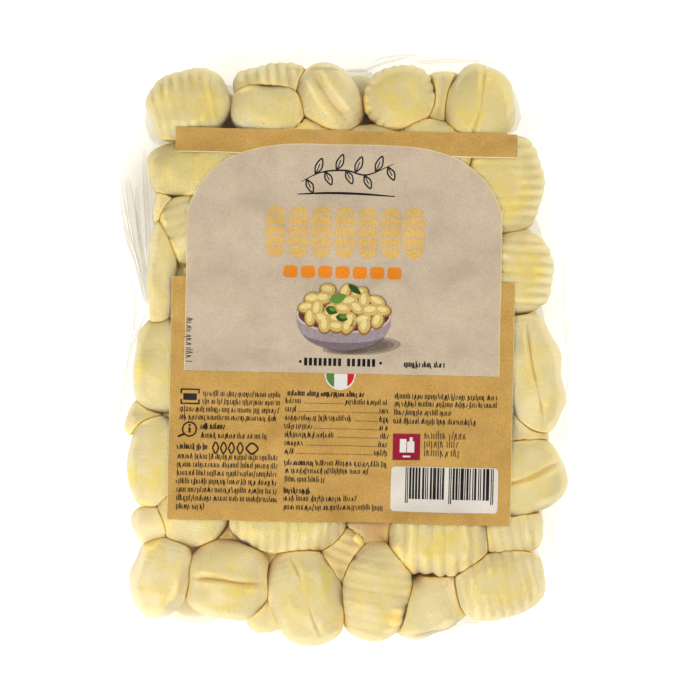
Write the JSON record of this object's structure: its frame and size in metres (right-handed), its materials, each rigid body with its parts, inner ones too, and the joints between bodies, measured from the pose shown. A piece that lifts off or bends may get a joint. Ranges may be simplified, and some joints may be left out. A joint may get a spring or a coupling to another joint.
{
  "type": "vacuum pack of potato gnocchi",
  "caption": "Flat clear vacuum-sealed film pouch of potato gnocchi, its film drawn tight over the lumpy pieces, with a wide printed label panel on the front and flat sealed margins.",
  "frame": {"origin": "middle of the pack's footprint, on the surface that it lies on", "axes": "+X across the pack to the right of its label, +Y up the label towards the pack's top edge, +Z out of the pack's front"},
  "size_m": [0.147, 0.1976, 0.033],
  "materials": {
    "gnocchi": "soft cooked potato dough, pale cream yellow, slightly translucent, damp under the film",
    "film": "clear thin vacuum film, glossy, with a faint cream haze at folds",
    "print": "thin semi-opaque tan and cream ink on the film, with small darker marks"
  },
  "bodies": {
    "root": {"gnocchi_pack": "gnocchi"}
  },
  "joints": []
}
